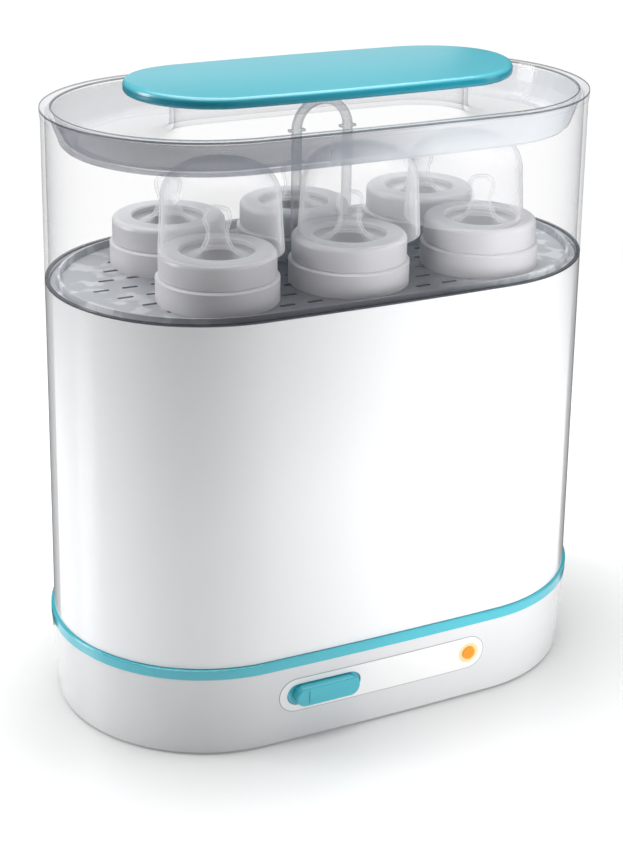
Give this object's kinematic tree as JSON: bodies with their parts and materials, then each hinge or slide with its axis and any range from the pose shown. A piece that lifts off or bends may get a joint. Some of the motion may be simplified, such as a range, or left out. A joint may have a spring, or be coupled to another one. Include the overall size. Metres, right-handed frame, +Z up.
{
  "type": "bottle sterilizer",
  "caption": "Oval electric steam steriliser for baby bottles with stacked white baskets, a clear lid and a teal grip.",
  "frame": {"origin": "middle of the oval footprint, on the plane that the rubber feet stand on", "axes": "+Z up, +X along the long side to the right, -Y towards the control panel"},
  "size_m": [0.2976, 0.176, 0.3306],
  "materials": {
    "white_housing": "high-gloss white moulded plastic",
    "inner_white": "satin white heat-resistant plastic",
    "panel_white": "satin white moulded plastic",
    "teal_plastic": "glossy teal moulded plastic",
    "teal_trim": "glossy teal moulded trim",
    "teal_key": "satin teal key",
    "clear_plastic": "clear moulded plastic",
    "grey_clear_plastic": "smoky translucent moulded plastic",
    "strainer_plastic": "satin pale grey plastic",
    "ring_white": "satin white plastic",
    "teat_silicone": "clear soft silicone",
    "dome_clear": "clear thin moulded plastic",
    "lamp_orange": "orange translucent lens",
    "lamp_clear": "clear lamp glass",
    "steel_plate": "brushed stainless steel",
    "heater_metal": "dull sheathed tube",
    "spring_steel": "bright spring steel",
    "screw_steel": "zinc-plated steel",
    "seal_silicone": "soft red-brown silicone",
    "foot_rubber": "matt grey rubber",
    "inner_plastic": "dark heat-resistant plastic",
    "board_green": "green laminate",
    "component_black": "black moulded component",
    "inlet_white": "satin white bushing",
    "wire_insulation": "soft wire insulation"
  },
  "bodies": {
    "base": {"base_housing": "white_housing", "base_deck": "white_housing", "water_basin": "inner_white", "base_trim_ring": "teal_trim", "heating_plate": "steel_plate", "plate_seal": "seal_silicone", "heating_element": "heater_metal", "plate_clamp": "spring_steel", "plate_screws": "screw_steel", "thermostat": "component_black", "thermal_fuse": "spring_steel", "bottom_cover": "white_housing", "cover_screws": "screw_steel", "rubber_feet": "foot_rubber", "control_panel": "panel_white", "switch_body": "component_black", "switch_bracket": "spring_steel", "bracket_screws": "screw_steel", "indicator_lens": "lamp_orange", "indicator_lamp": "lamp_clear", "circuit_board": "board_green", "board_screws": "screw_steel", "board_components": "component_black", "cord_inlet": "inlet_white", "inlet_nut": "inner_plastic", "terminal_block": "inner_plastic", "mains_wires": "wire_insulation", "heater_wires": "wire_insulation", "switch_wires": "wire_insulation"},
    "button": {"switch_button": "teal_key", "button_springs": "spring_steel"},
    "large_basket": {"large_basket_shell": "white_housing", "strainer_plate": "strainer_plastic"},
    "small_basket": {"small_basket_tray": "grey_clear_plastic", "basket_handle": "grey_clear_plastic"},
    "ring_set": {"screw_ring_1": "ring_white", "screw_ring_2": "ring_white", "screw_ring_3": "ring_white", "screw_ring_4": "ring_white", "screw_ring_5": "ring_white", "screw_ring_6": "ring_white", "teat_1": "teat_silicone", "teat_2": "teat_silicone", "teat_3": "teat_silicone", "teat_4": "teat_silicone", "teat_5": "teat_silicone", "teat_6": "teat_silicone"},
    "dome_set": {"dome_cap_1": "dome_clear", "dome_cap_2": "dome_clear", "dome_cap_3": "dome_clear"},
    "lid": {"lid_shell": "clear_plastic", "lid_grip": "teal_plastic", "grip_screws": "screw_steel"}
  },
  "joints": [
    {"name": "button_press", "type": "slide", "parent": "base", "child": "button", "axis": [0, 1, 0], "range_m": [0, 0.002], "stiffness_N_per_m": 600, "springref_m": -0.001},
    {"name": "large_basket_lift", "type": "slide", "parent": "base", "child": "large_basket", "axis": [0, 0, 1], "range_m": [0, 0.06]},
    {"name": "small_basket_lift", "type": "slide", "parent": "large_basket", "child": "small_basket", "axis": [0, 0, 1], "range_m": [0, 0.06]},
    {"name": "ring_set_lift", "type": "slide", "parent": "small_basket", "child": "ring_set", "axis": [0, 0, 1], "range_m": [0, 0.1]},
    {"name": "dome_set_lift", "type": "slide", "parent": "ring_set", "child": "dome_set", "axis": [0, 0, 1], "range_m": [0, 0.06]},
    {"name": "lid_lift", "type": "slide", "parent": "dome_set", "child": "lid", "axis": [0, 0, 1], "range_m": [0, 0.11]}
  ]
}
